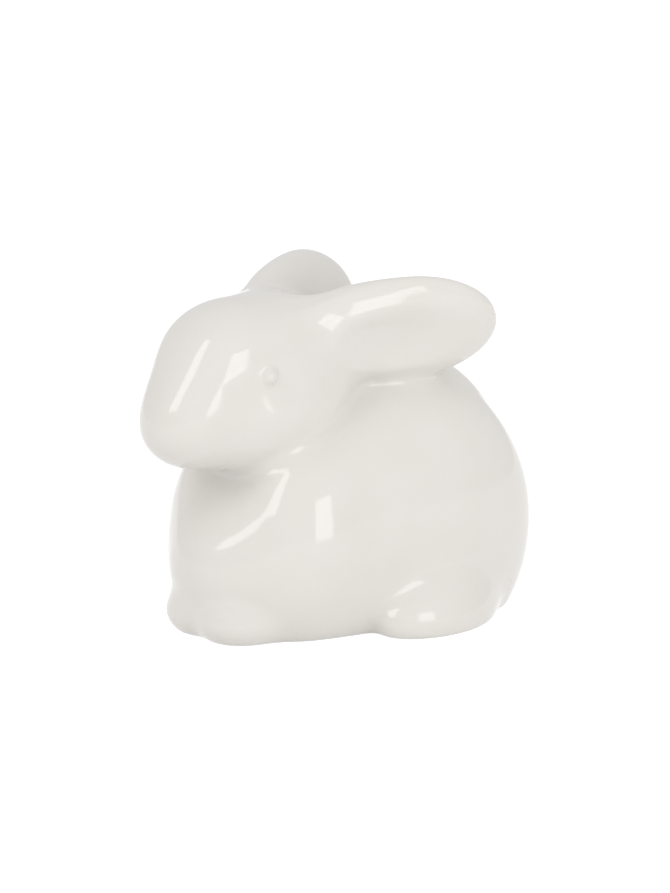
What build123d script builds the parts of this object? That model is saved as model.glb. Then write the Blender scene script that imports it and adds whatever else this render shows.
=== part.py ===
from build123d import *
import os

# A small sitting rabbit of slip-cast ceramic, in millimetres. It faces -Y, +Z is up, +X is its left side.
# The origin is on the flat foot that it stands on, under the middle of the trunk.
# Each mass is an egg-shaped solid that melts into its neighbours. The potter casts or presses the pieces apart
# and lutes them together with slip, so every smaller piece is trimmed by the larger ones and seats on them.

# Clay
wall = 3.4
foot_thickness = 4.2
vent_radius = 4.5
neck_hole_radius = 4.0
trim_overrun = 60.0

# Trunk, the large round mass of the body
trunk_half_width = 24.8
trunk_half_length = 39.9
trunk_half_height = 24.6
trunk_centre_height = 14.8
trunk_centre_back = 3.4
trunk_seam_turn = -60.0

# Rump, the higher mass over the hind legs
rump_half_width = 25.5
rump_half_length = 28.0
rump_half_height = 27.8
rump_back_share = 0.32
rump_height_share = 0.51
rump_melt_radius = 6.0
rump_seam_turn = 90.0

# Shoulders, a pair of upright masses at the front corners of the trunk
shoulder_half_width = 13.6
shoulder_half_length = 13.1
shoulder_half_height = 19.8
shoulder_side_share = 0.38
shoulder_front_share = 0.46
shoulder_height_share = 0.85

# Skull, a pair of low masses that make the wide crown and the roots of the ears
skull_half_width = 11.0
skull_half_length = 18.4
skull_half_height = 9.3
skull_side_share = 0.41
skull_front_share = 0.51
skull_seat_height = 20.4

# Bridge, the egg that slopes down from the forehead to the nose
bridge_half_width = 10.6
bridge_half_length = 14.1
bridge_half_height = 8.2
bridge_front_share = 0.85
bridge_drop_share = 0.43
bridge_nod = 53.0

# Nose, a pair of small round masses under the end of the bridge
nose_half_width = 7.4
nose_half_length = 8.8
nose_half_height = 6.7
nose_side_share = 0.16
nose_front_share = 0.98
nose_drop_share = 1.58

# Cheeks, a pair of deep masses under the skull, which rest on the neck
cheek_half_width = 10.1
cheek_half_length = 17.9
cheek_half_height = 12.3
cheek_side_share = 0.37
cheek_back_share = 0.09
cheek_drop_share = 1.27
head_melt_radius = 5.0

# Eyes, small beads of clay on the sides of the head
eye_radius = 1.7
eye_front_share = 0.45
eye_side_share = 1.20
eye_drop_share = 0.37

# Ears, laid back beside the head, with a shallow hollow on the outer face
ear_length = 40.8
ear_half_width = 12.1
ear_half_thickness = 4.3
ear_splay = 21.4
ear_lift = -0.9
ear_overhang = 20.4
ear_root_side_share = 0.72
ear_root_back_share = 0.37
ear_root_lift_share = 0.29
ear_hollow_depth = 1.7
ear_hollow_radius = 4.2
ear_blade_share = 0.51
ear_stem_place_share = 0.20
ear_stem_length_share = 0.34
ear_stem_width_share = 0.69
ear_hollow_length_share = 0.42
ear_hollow_width_share = 0.66

# Haunches, a pair of thigh pads luted on the flanks
haunch_half_width = 14.0
haunch_half_length = 23.5
haunch_half_height = 28.0
haunch_side_share = 0.57
haunch_back_share = 0.39
haunch_height_share = 1.23

# Hind feet, with the round toe showing in front of each haunch
hind_foot_half_width = 9.1
hind_foot_half_length = 14.6
hind_foot_half_height = 7.9
hind_foot_height = 3.3
hind_foot_side_share = 0.94
hind_foot_back_share = 0.17

# Front paws, side by side under the chest
front_paw_half_width = 9.6
front_paw_half_length = 9.7
front_paw_half_height = 6.4
front_paw_height = 4.6
front_paw_side_share = 0.19
front_paw_front_share = 0.73

# Tail, a small ball of clay low on the rump
tail_radius = 6.5
tail_height = 13.0
tail_sink_share = 0.35


def mass(centre, half_sizes, ball=Sphere(1)):
    """An egg-shaped mass, which is a ball of unit size drawn out to its half sizes."""
    return Pos(*centre) * scale(ball, by=half_sizes)


def head_mass(centre, half_sizes, nod=0):
    """A mass of the head, with its poles at the sides; nod lowers its front end by that many degrees."""
    egg = mass((0, 0, 0), half_sizes, Rot(0, 90, 0) * Sphere(1))
    return Pos(*centre) * Rot(nod, 0, 0) * egg


def thinned(half_sizes):
    """The half sizes of a mass's inside, one wall within its outside."""
    return tuple(size - wall for size in half_sizes)


def other_side(solid):
    """The same piece on the rabbit's right side."""
    return mirror(solid, about=Plane.YZ)


def pair(make, centre, half_sizes):
    """A mass on each side of the middle, as one list."""
    side, back, height = centre
    return [make((side, back, height), half_sizes), make((-side, back, height), half_sizes)]


def joined(masses):
    """One solid from overlapping masses."""
    solid = masses[0]
    for other in masses[1:]:
        solid = solid + other
    return solid


def melted(solid, other, radius):
    """Two masses joined, with the crease between them filled with slip to that radius."""
    both = solid + other
    return fillet(new_edges(solid, other, combined=both), radius)


# Places of the masses of the body, worked out from the trunk
trunk_centre = (0, trunk_centre_back, trunk_centre_height)
trunk_size = (trunk_half_width, trunk_half_length, trunk_half_height)
rump_centre = (
    0,
    trunk_centre_back + rump_back_share * trunk_half_length,
    trunk_centre_height + rump_height_share * trunk_half_height,
)
rump_size = (rump_half_width, rump_half_length, rump_half_height)
shoulder_centre = (
    shoulder_side_share * trunk_half_width,
    trunk_centre_back - shoulder_front_share * trunk_half_length,
    shoulder_height_share * trunk_half_height,
)
shoulder_size = (shoulder_half_width, shoulder_half_length, shoulder_half_height)
trunk_top = trunk_centre_height + trunk_half_height

above_ground = Pos(0, 0, trim_overrun) * Box(4 * trim_overrun, 4 * trim_overrun, 2 * trim_overrun)
above_foot = Pos(0, 0, foot_thickness) * above_ground

# The seam of each ball is turned off the middle, clear of the saddle where rump and shoulders meet.
trunk_ball = Rot(0, 0, trunk_seam_turn) * Sphere(1)
rump_ball = Rot(0, 0, rump_seam_turn) * Sphere(1)
trunk_and_rump = melted(
    mass(trunk_centre, trunk_size, trunk_ball),
    mass(rump_centre, rump_size, rump_ball),
    rump_melt_radius,
)
body_outside = joined([trunk_and_rump] + pair(mass, shoulder_centre, shoulder_size))
body_filled = body_outside & above_ground

# Places of the masses of the head, seated above the top of the trunk
skull_middle = (
    0,
    trunk_centre_back - skull_front_share * trunk_half_length,
    trunk_top + skull_seat_height,
)
skull_centre = (skull_side_share * skull_half_width, skull_middle[1], skull_middle[2])
skull_size = (skull_half_width, skull_half_length, skull_half_height)
bridge_centre = (
    0,
    skull_middle[1] - bridge_front_share * skull_half_length,
    skull_middle[2] - bridge_drop_share * skull_half_height,
)
bridge_size = (bridge_half_width, bridge_half_length, bridge_half_height)
nose_centre = (
    nose_side_share * nose_half_width,
    skull_middle[1] - nose_front_share * skull_half_length,
    skull_middle[2] - nose_drop_share * skull_half_height,
)
nose_size = (nose_half_width, nose_half_length, nose_half_height)
cheek_centre = (
    cheek_side_share * cheek_half_width,
    skull_middle[1] + cheek_back_share * skull_half_length,
    skull_middle[2] - cheek_drop_share * skull_half_height,
)
cheek_size = (cheek_half_width, cheek_half_length, cheek_half_height)
eye_centre = (
    eye_side_share * skull_half_width,
    skull_middle[1] - eye_front_share * skull_half_length,
    skull_middle[2] - eye_drop_share * skull_half_height,
)
eye_size = (eye_radius, eye_radius, eye_radius)
head_masses = joined(
    pair(head_mass, skull_centre, skull_size)
    + pair(head_mass, cheek_centre, cheek_size)
    + [head_mass(bridge_centre, bridge_size, bridge_nod)]
    + pair(head_mass, nose_centre, nose_size)
)
# The creases between the masses of the head are filled with slip.
head_filled = fillet(head_masses.edges(), head_melt_radius)
neck_hole = Pos(0, skull_middle[1], trunk_top) * Cylinder(neck_hole_radius, trunk_half_height)


def make_body_shell():
    """Hollow trunk with its flat foot, the vent under it and the hole through to the head."""
    inside = mass(trunk_centre, thinned(trunk_size)) + mass(rump_centre, thinned(rump_size))
    vent = Pos(0, rump_centre[1], 0) * Cylinder(vent_radius, 4 * foot_thickness)
    return body_filled - (inside & above_foot) - vent - neck_hole


def make_head_shell():
    """Hollow head with its eyes, open to the body through the neck hole."""
    inside = joined(
        pair(head_mass, skull_centre, thinned(skull_size))
        + pair(head_mass, cheek_centre, thinned(cheek_size))
        + [head_mass(bridge_centre, thinned(bridge_size), bridge_nod)]
    )
    eyes = pair(head_mass, eye_centre, eye_size)
    return joined([head_filled] + eyes) - inside - body_filled - neck_hole


def make_ear_left():
    """Solid ear: a blade and the stem that leads into the head, hollowed on its outer face."""
    blade = Pos(ear_blade_share * ear_length, 0, 0) * scale(
        Sphere(1), by=((1 - ear_blade_share) * ear_length, ear_half_width, ear_half_thickness)
    )
    stem = Pos(ear_stem_place_share * ear_length, 0, 0) * scale(
        Sphere(1),
        by=(ear_stem_length_share * ear_length, ear_stem_width_share * ear_half_width, ear_half_thickness),
    )
    hollow_height = ear_half_thickness - ear_hollow_depth + ear_hollow_radius
    hollow = Pos(ear_blade_share * ear_length, 0, hollow_height) * scale(
        Sphere(1),
        by=(ear_hollow_length_share * ear_length, ear_hollow_width_share * ear_half_width, ear_hollow_radius),
    )
    root = Pos(
        ear_root_side_share * skull_half_width,
        skull_middle[1] + ear_root_back_share * skull_half_length,
        skull_middle[2] + ear_root_lift_share * skull_half_height,
    )
    # The ear is made along +X with its outer face up, stood on edge, tipped so that its upper edge
    # overhangs the hollow face, then swung back and outwards.
    on_edge = Rot(90, 0, 0)
    swing = Rot(0, 0, 90 - ear_splay) * Rot(0, -ear_lift, 0) * Rot(ear_overhang, 0, 0)
    ear = root * swing * on_edge * (blade + stem - hollow)
    return ear - head_filled - body_filled


haunch_centre = (
    haunch_side_share * trunk_half_width,
    trunk_centre_back + haunch_back_share * trunk_half_length,
    haunch_height_share * trunk_centre_height,
)
haunch_size = (haunch_half_width, haunch_half_length, haunch_half_height)
haunch_filled = mass(haunch_centre, haunch_size)


def make_haunch_left():
    """Thigh pad, trimmed to the flank and the ground."""
    return (haunch_filled & above_ground) - body_filled


def make_hind_foot_left():
    """Hind foot, trimmed to the haunch, the flank and the ground."""
    centre = (
        hind_foot_side_share * trunk_half_width,
        trunk_centre_back + hind_foot_back_share * trunk_half_length,
        hind_foot_height,
    )
    foot = mass(centre, (hind_foot_half_width, hind_foot_half_length, hind_foot_half_height))
    return (foot & above_ground) - body_filled - haunch_filled


def make_front_paw_left():
    """Front paw, trimmed to the chest, the ground and the middle, where it meets its fellow."""
    centre = (
        front_paw_side_share * trunk_half_width,
        trunk_centre_back - front_paw_front_share * trunk_half_length,
        front_paw_height,
    )
    paw = mass(centre, (front_paw_half_width, front_paw_half_length, front_paw_half_height))
    left_side = Pos(2 * trim_overrun, 0, 0) * above_ground
    return (paw & left_side) - body_filled


def make_tail():
    """Ball tail, trimmed to the rump."""
    back = body_filled.bounding_box().max.Y - tail_sink_share * tail_radius
    return mass((0, back, tail_height), (tail_radius, tail_radius, tail_radius)) - body_filled


pieces = {
    "body_shell": make_body_shell(),
    "head_shell": make_head_shell(),
    "ear_left": make_ear_left(),
    "haunch_left": make_haunch_left(),
    "hind_foot_left": make_hind_foot_left(),
    "front_paw_left": make_front_paw_left(),
    "tail": make_tail(),
}
for left_name in [name for name in pieces if name.endswith("_left")]:
    pieces[left_name.replace("_left", "_right")] = other_side(pieces[left_name])

os.makedirs("parts", exist_ok=True)
for name, solid in pieces.items():
    export_step(solid, f"parts/{name}.step")
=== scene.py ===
import math

import bpy
import numpy as np
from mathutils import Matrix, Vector


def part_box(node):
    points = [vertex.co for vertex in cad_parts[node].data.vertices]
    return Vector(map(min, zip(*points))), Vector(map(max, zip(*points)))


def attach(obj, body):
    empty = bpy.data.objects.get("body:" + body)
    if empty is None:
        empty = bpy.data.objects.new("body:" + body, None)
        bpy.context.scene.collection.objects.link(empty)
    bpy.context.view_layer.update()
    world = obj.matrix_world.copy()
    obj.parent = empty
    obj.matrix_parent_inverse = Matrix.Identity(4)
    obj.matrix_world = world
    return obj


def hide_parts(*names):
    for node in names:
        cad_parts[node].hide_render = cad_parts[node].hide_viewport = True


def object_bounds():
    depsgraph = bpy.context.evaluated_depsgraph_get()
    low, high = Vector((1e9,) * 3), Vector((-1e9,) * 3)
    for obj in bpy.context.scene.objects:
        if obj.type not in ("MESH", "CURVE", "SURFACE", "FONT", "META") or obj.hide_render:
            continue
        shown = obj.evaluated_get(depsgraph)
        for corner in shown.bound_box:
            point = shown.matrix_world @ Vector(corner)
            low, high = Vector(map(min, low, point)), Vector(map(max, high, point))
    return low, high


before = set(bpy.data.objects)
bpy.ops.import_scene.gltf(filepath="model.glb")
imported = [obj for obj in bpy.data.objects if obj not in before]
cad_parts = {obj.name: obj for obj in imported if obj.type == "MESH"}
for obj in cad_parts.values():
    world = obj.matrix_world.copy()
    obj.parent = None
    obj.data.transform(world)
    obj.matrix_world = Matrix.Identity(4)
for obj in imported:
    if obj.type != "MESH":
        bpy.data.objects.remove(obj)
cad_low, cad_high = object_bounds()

# Body shell: the hollow slip-cast trunk of the rabbit, in warm white earthenware under a clear glaze.
# The trunk, the rump, the flanks and the shoulders are egg-shaped masses of clay that run into each other.
# It stands on a flat foot with a round vent hole, which lets the air out in the kiln. Sizes are in mm.
MM = 0.001
TRUNK = dict(centre=(0, 3.4, 14.8), half_sizes=(24.8, 39.9, 24.6))
RUMP = dict(centre=(0, 16.0, 27.3), half_sizes=(25.5, 28.0, 27.8))
FLANK = dict(centre=(11.2, 5.0, 24.0), half_sizes=(14.8, 28.0, 22.0))
SHOULDER = dict(centre=(9.4, -15.1, 20.8), half_sizes=(13.6, 13.1, 19.8))
RUMP_MELT = 8.0
FLANK_MELT = 4.0
SHOULDER_MELT = 6.0
WALL = 3.4
FOOT_THICKNESS = 4.2
FOOT_CORNER = 1.5
VENT_RADIUS = 4.5
VENT_BACK = 16.2
VENT_EDGE = 1.0


def egg(points, centre, half_sizes, nod=0.0):
    """Distance from points, below 0 inside, to an egg-shaped mass that nods forward by nod degrees."""
    q = points - np.array(centre)
    if nod:
        c, s = math.cos(math.radians(nod)), math.sin(math.radians(nod))
        q = np.stack([q[:, 0], q[:, 1] * c + q[:, 2] * s, q[:, 2] * c - q[:, 1] * s], 1)
    half = np.array(half_sizes)
    tiny = 1e-9
    near = np.sqrt(((q / half) ** 2).sum(1)) + tiny
    slope = np.sqrt(((q / half**2) ** 2).sum(1)) + tiny
    return near * (near - 1) / slope


def melt(a, b, width):
    """Two masses run together, with a soft fillet about as wide as width."""
    share = np.clip(0.5 + 0.5 * (b - a) / width, 0, 1)
    return b + (a - b) * share - width * share * (1 - share)


def across(points):
    """The same points on the other side of the rabbit."""
    return points * np.array([-1.0, 1.0, 1.0])


def both(points, centre, half_sizes, width, nod=0.0):
    """A mass on each side of the middle, run together."""
    return melt(egg(points, centre, half_sizes, nod), egg(across(points), centre, half_sizes, nod), width)


def body_clay(points):
    body = melt(egg(points, **TRUNK), egg(points, **RUMP), RUMP_MELT)
    body = melt(body, both(points, width=FLANK_MELT, **FLANK), FLANK_MELT)
    return melt(body, both(points, width=RUMP_MELT, **SHOULDER), SHOULDER_MELT)


def body_cavity(points):
    """The hollow inside the trunk, above the foot, with the vent that opens it below."""
    hollow = melt(egg(points, **TRUNK), egg(points, **RUMP), RUMP_MELT) + WALL
    hollow = -melt(-hollow, points[:, 2] - FOOT_THICKNESS, FOOT_CORNER)
    vent = np.hypot(points[:, 0], points[:, 1] - VENT_BACK) - VENT_RADIUS
    vent = np.maximum(vent, points[:, 2] - FOOT_THICKNESS - WALL)
    return melt(hollow, vent, VENT_EDGE)


class Socket:
    """One output of a shader node. A product with it adds a Math node to its tree."""

    def __init__(self, tree, output=None):
        self.tree, self.output = tree, output

    def node(self, kind, settings, inputs, out=0):
        """Adds a node, with its settings and the values or links of its inputs, and returns one output."""
        made = self.tree.nodes.new(kind)
        for key, value in settings.items():
            setattr(made, key, value)
        for key, value in inputs.items():
            if isinstance(value, Socket):
                self.tree.links.new(value.output, made.inputs[key])
            else:
                made.inputs[key].default_value = value
        return Socket(self.tree, made.outputs[out] if made.outputs else None)

    def math(self, operation, a, b):
        return self.node("ShaderNodeMath", {"operation": operation}, {0: a, 1: b})

    def __mul__(self, other):
        return self.math("MULTIPLY", self, other)

    __rmul__ = __mul__


def bare_finish(name):
    """A material with an empty tree, and the start of that tree."""
    material = bpy.data.materials.new(name)
    material.use_nodes = True
    material.node_tree.nodes.clear()
    return material, Socket(material.node_tree)


# The colour sockets of a Mix node share their names with its number sockets, so they go by their place.
MIX_COLOUR_A, MIX_COLOUR_B, MIX_COLOUR_OUT = 6, 7, 2
GLAZE_WHITE = (0.774, 0.752, 0.715, 1.0)
GLAZE_CREAM = (0.762, 0.737, 0.694, 1.0)
CLOUD_SCALE, CLOUD_DETAIL = 90.0, 3.0
CLOUD_LOW, CLOUD_HIGH = 0.3, 0.7
RIPPLE_SCALE, RIPPLE_DETAIL = 160.0, 1.0
RIPPLE_STRENGTH, RIPPLE_HEIGHT = 0.05, 0.0004
GLAZE_ROUGHNESS = 0.09
GLAZE_IOR = 1.5


def white_glaze():
    """A clear glossy glaze over warm white clay, with faint clouds of tone and a slight ripple."""
    material, start = bare_finish("white_glaze")
    place = start.node("ShaderNodeTexCoord", {}, {}, "Object")
    noise = start.node(
        "ShaderNodeTexNoise", {}, {"Vector": place, "Scale": CLOUD_SCALE, "Detail": CLOUD_DETAIL}
    )
    cloud = start.node(
        "ShaderNodeMapRange",
        {},
        {"Value": noise, "From Min": CLOUD_LOW, "From Max": CLOUD_HIGH, "To Min": 0.0, "To Max": 1.0},
    )
    tone = start.node(
        "ShaderNodeMix",
        {"data_type": "RGBA"},
        {"Factor": cloud, MIX_COLOUR_A: GLAZE_CREAM, MIX_COLOUR_B: GLAZE_WHITE},
        MIX_COLOUR_OUT,
    )
    wave = start.node(
        "ShaderNodeTexNoise", {}, {"Vector": place, "Scale": RIPPLE_SCALE, "Detail": RIPPLE_DETAIL}
    )
    ripple = start.node(
        "ShaderNodeBump", {}, {"Strength": RIPPLE_STRENGTH, "Distance": RIPPLE_HEIGHT, "Height": wave}
    )
    coat = start.node(
        "ShaderNodeBsdfPrincipled",
        {},
        {"Base Color": tone, "Roughness": GLAZE_ROUGHNESS, "IOR": GLAZE_IOR, "Normal": ripple},
    )
    start.node("ShaderNodeOutputMaterial", {}, {"Surface": coat})
    return material


glaze = white_glaze()
forms = {}


def glazed_piece(node, form):
    """A glazed piece that stands for one node. Its form is kept, and its skin is cut at the end."""
    forms[node] = form
    mesh = bpy.data.meshes.new(node + "_glazed")
    mesh.materials.append(glaze)
    piece = bpy.data.objects.new(node + "_glazed", mesh)
    bpy.context.scene.collection.objects.link(piece)
    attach(piece, "root")
    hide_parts(node)


glazed_piece("body_shell", body_clay)

# Head shell: the second casting, of the same clay, with a wide crown, a sloping bridge and deep cheeks.
# It is luted on the neck. The eyes are low beads of clay that the glaze nearly covers.
SKULL = dict(centre=(3.4, -17.1, 60.1), half_sizes=(10.5, 18.4, 9.5))
BRIDGE = dict(centre=(0, -32.7, 55.8), half_sizes=(10.6, 14.1, 8.2), nod=53.0)
NOSE = dict(centre=(1.2, -35.1, 45.1), half_sizes=(7.4, 8.8, 6.7))
CHEEK = dict(centre=(3.9, -16.5, 48.0), half_sizes=(11.2, 19.5, 14.4))
EYE = dict(centre=(13.1, -25.2, 56.4), half_sizes=(1.5, 1.5, 1.5))
HEAD_MELT = 6.0
CHEEK_MELT = 5.0
EYE_MELT = 1.2


def head_clay(points):
    head = both(points, width=HEAD_MELT, **SKULL)
    head = melt(head, egg(points, **BRIDGE), HEAD_MELT)
    head = melt(head, both(points, width=CHEEK_MELT, **CHEEK), CHEEK_MELT)
    head = melt(head, both(points, width=HEAD_MELT, **NOSE), HEAD_MELT)
    return melt(head, both(points, width=EYE_MELT, **EYE), EYE_MELT)


glazed_piece("head_shell", head_clay)

# Ears: two solid blades of pressed clay, laid back beside the head, each with a stem that ends in the skull.
# The outer face has a long shallow hollow, and the upper edge overhangs it.
# They are luted on the skull, and slip joins the lower edge to the back.
EAR_ROOT = (7.9, -10.2, 62.5)
EAR_LENGTH = 40.8
EAR_HALF_WIDTH = 12.1
EAR_HALF_THICKNESS = 4.3
EAR_SPLAY = 21.4
EAR_LIFT = -0.9
EAR_ROLL = -20.4
BLADE_MIDDLE = 0.51 * EAR_LENGTH
BLADE_HALF_LENGTH = 0.49 * EAR_LENGTH
STEM_MIDDLE = 0.20 * EAR_LENGTH
STEM_HALF_SIZES = (0.34 * EAR_LENGTH, 0.69 * EAR_HALF_WIDTH, 1.05 * EAR_HALF_THICKNESS)
STEM_MELT = 6.0
HOLLOW_MIDDLE = 0.52 * EAR_LENGTH
HOLLOW_ABOVE_BLADE = 2.6
HOLLOW_HALF_SIZES = (0.42 * EAR_LENGTH, 0.66 * EAR_HALF_WIDTH, 4.2)
HOLLOW_RIM = 2.0


def carve(a, b, width):
    """Mass a with mass b taken out of it, and a rounded rim."""
    return -melt(-a, b, width)


def ear_axes():
    """Along the ear, up its blade and out of its hollow face, as three unit vectors."""
    splay, lift, roll = (math.radians(a) for a in (EAR_SPLAY, EAR_LIFT, EAR_ROLL))
    along = (math.sin(splay) * math.cos(lift), math.cos(splay) * math.cos(lift), math.sin(lift))
    along = np.array(along)
    out = np.array([math.cos(splay), -math.sin(splay), 0.0])
    up = np.cross(out, along)
    up = up if up[2] > 0 else -up
    return along, up * math.cos(roll) - out * math.sin(roll), out * math.cos(roll) + up * math.sin(roll)


def ear_clay(points):
    q = points - np.array(EAR_ROOT)
    q = np.stack([q @ axis for axis in ear_axes()], 1)
    blade = egg(q, (BLADE_MIDDLE, 0, 0), (BLADE_HALF_LENGTH, EAR_HALF_WIDTH, EAR_HALF_THICKNESS))
    stem = egg(q, (STEM_MIDDLE, 0, 0), STEM_HALF_SIZES)
    hollow = egg(q, (HOLLOW_MIDDLE, 0, EAR_HALF_THICKNESS + HOLLOW_ABOVE_BLADE), HOLLOW_HALF_SIZES)
    return carve(melt(blade, stem, STEM_MELT), hollow, HOLLOW_RIM)


def glazed_pair(node, form):
    """The piece on the left side and its mirror image on the right."""
    glazed_piece(node + "_left", form)
    glazed_piece(node + "_right", lambda points: form(across(points)))


glazed_pair("ear", ear_clay)

# Haunches: a thigh pad of clay on each flank, a little proud of it, with a soft crease in front.
# Each is pressed by itself and luted on, as the feet and the paws are.
HAUNCH = dict(centre=(14.2, 19.1, 18.2), half_sizes=(14.0, 23.5, 28.0))


def haunch_clay(points):
    return egg(points, **HAUNCH)


glazed_pair("haunch", haunch_clay)

# Hind feet: a roll of clay under each haunch, luted to it and to the trunk.
# Its round toe shows in front of the haunch, and its sole is flat on the table.
HIND_FOOT = dict(centre=(23.4, 10.2, 3.3), half_sizes=(9.1, 14.6, 7.9))


def hind_foot_clay(points):
    return egg(points, **HIND_FOOT)


glazed_pair("hind_foot", hind_foot_clay)

# Front paws: two short rolls of clay, luted side by side under the chest.
# They meet in the middle, and their soles are flat on the table.
FRONT_PAW = dict(centre=(4.6, -25.9, 4.6), half_sizes=(9.6, 9.7, 6.4))


def front_paw_clay(points):
    return egg(points, **FRONT_PAW)


glazed_pair("front_paw", front_paw_clay)

# Tail: a small ball of clay, luted low on the rump.
# Its size and place are those of the solid.
tail_low, tail_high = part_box("tail")
TAIL_RADIUS = (tail_high.x - tail_low.x) / 2 / MM
TAIL = dict(
    centre=(0, tail_high.y / MM - TAIL_RADIUS, tail_high.z / MM - TAIL_RADIUS),
    half_sizes=(TAIL_RADIUS, TAIL_RADIUS, TAIL_RADIUS),
)


def tail_clay(points):
    return egg(points, **TAIL)


glazed_piece("tail", tail_clay)

# Luting and glazing: slip fills the creases where the pieces meet, and one coat of glaze covers them all.
# The rabbit is drawn as one skin, which is then cut into its pieces along their joints.
# Neighbours share the points along their joint, so no gap shows there.
HIND_FOOT_MELT = 6.0
BETWEEN_LEGS_MELT = 4.0
HAUNCH_MELT = 3.0
BETWEEN_PAWS_MELT = 2.0
PAW_MELT = 3.0
TAIL_MELT = 2.0
BETWEEN_EARS_MELT = 3.0
EAR_MELT = 5.0
NECK_MELT = 3.5
FOOT_EDGE = 1.0
CAVITY_EDGE = 0.6


def rabbit(points):
    """Distance in mm to the whole glazed rabbit, and to each piece of clay."""
    clay = {node: form(points) for node, form in forms.items()}
    left_leg = melt(clay["haunch_left"], clay["hind_foot_left"], HIND_FOOT_MELT)
    right_leg = melt(clay["haunch_right"], clay["hind_foot_right"], HIND_FOOT_MELT)
    paws = melt(clay["front_paw_left"], clay["front_paw_right"], BETWEEN_PAWS_MELT)
    ears = melt(clay["ear_left"], clay["ear_right"], BETWEEN_EARS_MELT)
    lower = melt(clay["body_shell"], melt(left_leg, right_leg, BETWEEN_LEGS_MELT), HAUNCH_MELT)
    lower = melt(melt(lower, paws, PAW_MELT), clay["tail"], TAIL_MELT)
    upper = melt(clay["head_shell"], ears, EAR_MELT)
    whole = melt(lower, upper, NECK_MELT)
    whole = -melt(-whole, points[:, 2], FOOT_EDGE)
    return carve(whole, body_cavity(points), CAVITY_EDGE), clay


SLOPE_STEP = 0.05


def steepness(points):
    """The slope of the skin at each point, which is also the way it faces."""
    sides = np.eye(3) * SLOPE_STEP
    slopes = [rabbit(points + side)[0] - rabbit(points - side)[0] for side in sides]
    return np.stack(slopes, 1) / (2 * SLOPE_STEP)


FINE_CELL = 0.55
SKIN_MARGIN = 4.0


def around(index, u, v, back_u, back_v):
    """The cells of a grid beside its edges at index, back_u steps back along u and back_v along v."""
    at = index.copy()
    at[:, u] -= back_u
    at[:, v] -= back_v
    return tuple(at.T)


def skin(cell):
    """Points and four-sided faces of the whole skin, about one cell apart.

    Each cell of a grid that the skin passes through gets one point, the mean of its crossings with the edges
    of the cell. Each edge that the skin crosses gets one face, between the four cells around it.
    """
    low = np.floor(np.array(cad_low) / MM - SKIN_MARGIN)
    counts = np.ceil((np.array(cad_high) / MM + SKIN_MARGIN - low) / cell).astype(int)
    axes = [low[i] + cell * np.arange(counts[i]) for i in range(3)]
    field = np.empty(counts, np.float32)
    flat = np.stack(np.meshgrid(axes[1], axes[2], indexing="ij"), -1).reshape(-1, 2)
    for i, x in enumerate(axes[0]):
        layer = np.concatenate([np.full((len(flat), 1), x), flat], 1)
        field[i] = rabbit(layer)[0].reshape(counts[1], counts[2])
    inside = field < 0
    total, weight = np.zeros(tuple(counts - 1) + (3,)), np.zeros(tuple(counts - 1))
    crossings = []
    for axis in range(3):
        start_inside = np.take(inside, range(counts[axis] - 1), axis)
        end_inside = np.take(inside, range(1, counts[axis]), axis)
        index = np.argwhere(start_inside != end_inside)
        ahead = index.copy()
        ahead[:, axis] += 1
        start, end = field[tuple(index.T)], field[tuple(ahead.T)]
        place = index.astype(float)
        place[:, axis] += start / (start - end)
        u, v = (axis + 1) % 3, (axis + 2) % 3
        crossings.append((u, v, index, start_inside[tuple(index.T)]))
        for back_u, back_v in ((0, 0), (0, 1), (1, 0), (1, 1)):
            cells = around(index, u, v, back_u, back_v)
            np.add.at(total, cells, place)
            np.add.at(weight, cells, 1)
    used = weight > 0
    number = np.full(weight.shape, -1)
    number[used] = np.arange(used.sum())
    points = low + cell * total[used] / weight[used][:, None]
    faces = []
    for u, v, index, rising in crossings:
        ring = [number[around(index, u, v, *back)] for back in ((1, 1), (0, 1), (0, 0), (1, 0))]
        quad = np.stack(ring, 1)
        quad[~rising] = quad[~rising][:, ::-1]
        faces.append(quad)
    return points, np.concatenate(faces)


SETTLE_ROUNDS = 5
EVENING = 0.6
LEAST_SLOPE = 0.2
LONGEST_MOVE = 0.3


def edges_of(quads):
    """The edges of four-sided faces, each as its first and second point."""
    return np.concatenate([quads[:, [i, (i + 1) % 4]] for i in range(4)])


def settle(points, faces):
    """Evens the points out along the skin and puts each back on it."""
    pairs = edges_of(faces)
    pairs = np.concatenate([pairs, pairs[:, ::-1]])
    here, there = pairs.T
    count = np.bincount(here, minlength=len(points))[:, None]
    for turn in range(SETTLE_ROUNDS):
        if turn < SETTLE_ROUNDS - 1:
            mean = np.stack([np.bincount(here, points[there, i], len(points)) for i in range(3)], 1) / count
            points = points + EVENING * (mean - points)
        slope = steepness(points)
        size = np.maximum((slope**2).sum(1, keepdims=True), LEAST_SLOPE)
        move = rabbit(points)[0][:, None] * slope / size
        points = points - np.clip(move, -LONGEST_MOVE, LONGEST_MOVE)
    return points


points, faces = skin(FINE_CELL)
points = settle(points, faces)
facing = steepness(points)
facing /= np.linalg.norm(facing, axis=1, keepdims=True)

# Each face goes to the clay that is nearest, and the faces of the cavity go to the body shell.
CAVITY_REACH = 0.3
nodes = list(forms)
middles = points[faces].mean(1)
clay = rabbit(middles)[1]
owner = np.stack([clay[node] for node in nodes]).argmin(0)
owner[body_cavity(middles) < CAVITY_REACH] = nodes.index("body_shell")


def loops_of(quads):
    """The closed chains of edges that bound a patch of faces."""
    seen = set(map(tuple, edges_of(quads).tolist()))
    after = {}
    for a, b in seen:
        if (b, a) not in seen:
            after.setdefault(a, []).append(b)
    chains = []
    while after:
        start = next(iter(after))
        chain = [start]
        while True:
            nexts = after[chain[-1]]
            step = nexts.pop()
            if not nexts:
                del after[chain[-1]]
            if step == start:
                break
            chain.append(step)
        chains.append(chain)
    return chains


SEAM_DEPTH = 0.8


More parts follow.
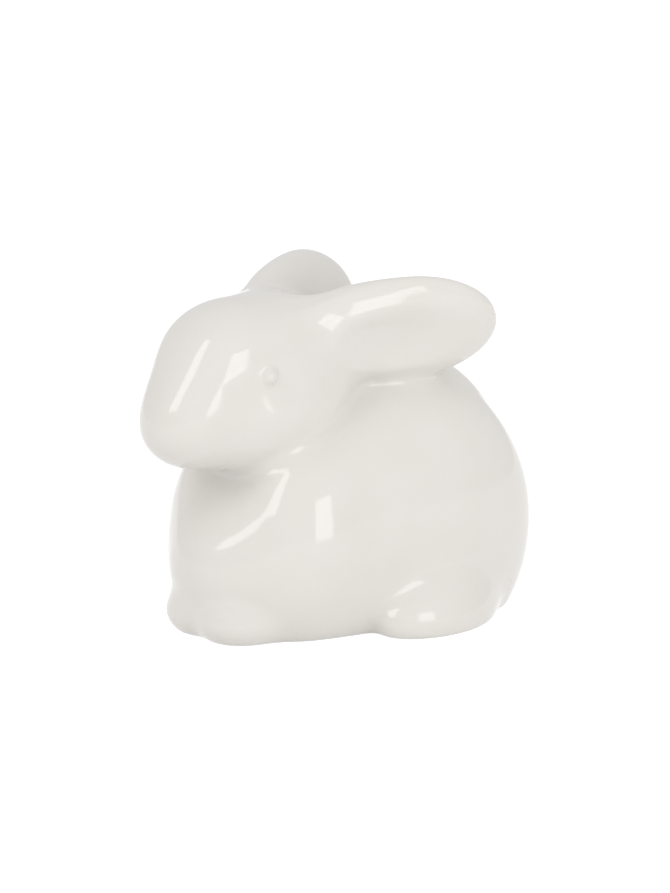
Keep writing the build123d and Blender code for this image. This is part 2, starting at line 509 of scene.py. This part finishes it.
def cut_piece(node, quads):
    """Gives a piece its part of the skin, closed behind each joint by a rim of slip and a flat face."""
    used = np.unique(quads)
    renumber = np.full(len(points), -1)
    renumber[used] = np.arange(len(used))
    spots = points[used].tolist()
    normals = facing[used].tolist()
    solid = renumber[quads].tolist()
    for chain in loops_of(quads):
        rim = [int(renumber[i]) for i in chain]
        under = list(range(len(spots), len(spots) + len(rim)))
        spots += (points[chain] - SEAM_DEPTH * facing[chain]).tolist()
        normals += facing[chain].tolist()
        hub = len(spots)
        spots.append(np.mean(spots[under[0] : hub], 0).tolist())
        normals.append([0.0, 0.0, 1.0])
        for a, b, c, d in zip(rim, rim[1:] + rim[:1], under[1:] + under[:1], under):
            solid += [[b, a, d, c], [c, d, hub]]
    mesh = bpy.data.meshes[node + "_glazed"]
    mesh.from_pydata((np.array(spots) * MM).tolist(), [], solid)
    mesh.update()
    mesh.shade_smooth()
    mesh.normals_split_custom_set_from_vertices(normals)


for number, node in enumerate(nodes):
    cut_piece(node, faces[owner == number])

# Table: a plain white sheet under the rabbit, of matt paper or cloth.
# It glows a little where the camera and the glaze see it, so that it stays white out to the horizon.
SHEET_REACH = 4.0
SHEET_COLOUR = (0.92, 0.92, 0.92, 1.0)
SHEET_GLOW = 1.25
SHEET_GLOW_SHARE = 0.8
WHITE = (1.0, 1.0, 1.0, 1.0)


def white_sheet():
    """Matt white to the light that falls on it, and mostly glowing white to what looks at it."""
    material, start = bare_finish("white_sheet")
    kinds = ("Camera", "Glossy", "Transmission")
    rays = [start.node("ShaderNodeLightPath", {}, {}, f"Is {kind} Ray") for kind in kinds]
    seen = start.math("MAXIMUM", start.math("MAXIMUM", rays[0], rays[1]), rays[2])
    cloth = start.node("ShaderNodeBsdfDiffuse", {}, {"Color": SHEET_COLOUR})
    glow = start.node("ShaderNodeEmission", {}, {"Color": WHITE, "Strength": SHEET_GLOW})
    mixed = start.node("ShaderNodeMixShader", {}, {0: seen * SHEET_GLOW_SHARE, 1: cloth, 2: glow})
    start.node("ShaderNodeOutputMaterial", {}, {"Surface": mixed})
    return material


sheet_mesh = bpy.data.meshes.new("floor")
sheet_corners = [(x * SHEET_REACH, y * SHEET_REACH, 0) for x, y in ((-1, -1), (1, -1), (1, 1), (-1, 1))]
sheet_mesh.from_pydata(sheet_corners, [], [(0, 1, 2, 3)])
sheet_mesh.materials.append(white_sheet())
floor = bpy.data.objects.new("floor", sheet_mesh)
bpy.context.scene.collection.objects.link(floor)

# Camera: it looks a little down on the rabbit's left front, from nearly a metre away.
# Its lens fits the picture's width at the distance of the rabbit.
CAMERA_TURN = 49.2
CAMERA_HEIGHT = 13.1
CAMERA_DISTANCE = 0.900
CAMERA_NEAREST, CAMERA_FARTHEST = 0.01, 20.0
SENSOR_WIDTH = 36.0
PICTURE_WIDTH_PIXELS = 670
PIXELS_PER_METRE = 4800.0
AIM = (0.0017, 0.0020, 0.0358)


def outwards(turn, height):
    """The direction from the rabbit at an angle round from its face and an angle above the table."""
    a, e = math.radians(turn), math.radians(height)
    return np.array([math.sin(a) * math.cos(e), -math.cos(a) * math.cos(e), math.sin(e)])


def facing_back(direction):
    """The turn of a camera or lamp that looks back along a direction, upright."""
    return Vector(-direction).to_track_quat("-Z", "Y").to_euler()


camera = bpy.data.objects.new("camera", bpy.data.cameras.new("camera"))
bpy.context.scene.collection.objects.link(camera)
bpy.context.scene.camera = camera
camera.data.sensor_fit = "HORIZONTAL"
camera.data.sensor_width = SENSOR_WIDTH
camera.data.lens = SENSOR_WIDTH * CAMERA_DISTANCE * PIXELS_PER_METRE / PICTURE_WIDTH_PIXELS
camera.data.clip_start, camera.data.clip_end = CAMERA_NEAREST, CAMERA_FARTHEST
camera.location = np.array(AIM) + CAMERA_DISTANCE * outwards(CAMERA_TURN, CAMERA_HEIGHT)
camera.rotation_euler = facing_back(outwards(CAMERA_TURN, CAMERA_HEIGHT))


# Lamps: two tall softboxes, one on each side of the camera, which the glaze reflects as pale streaks.
# The room's even white light fills the shadows.
def softbox(name, turn, distance, width, low, high, radiance):
    """A tall soft lamp that faces the rabbit, from a low to a high place above the table, in metres."""
    lamp = bpy.data.lights.new(name, "AREA")
    lamp.shape = "RECTANGLE"
    lamp.size, lamp.size_y = width, high - low
    lamp.energy = radiance * math.pi * width * (high - low)
    holder = bpy.data.objects.new(name, lamp)
    holder.location = distance * outwards(turn, 0) + np.array([0, 0, (low + high) / 2])
    holder.rotation_euler = facing_back(outwards(turn, 0))
    bpy.context.scene.collection.objects.link(holder)


LEFT_TURN = CAMERA_TURN - 45
RIGHT_TURN = CAMERA_TURN + 35
softbox("left_softbox", LEFT_TURN, distance=0.60, width=0.18, low=0.24, high=1.00, radiance=3.0)
softbox("right_softbox", RIGHT_TURN, distance=0.45, width=0.18, low=0.005, high=0.26, radiance=2.7)

ROOM_LIGHT = 0.78
world = bpy.data.worlds.new("room")
bpy.context.scene.world = world
world.use_nodes = True
room = world.node_tree.nodes["Background"]
room.inputs["Color"].default_value = WHITE
room.inputs["Strength"].default_value = ROOM_LIGHT

bpy.context.scene.view_settings.view_transform = "Standard"
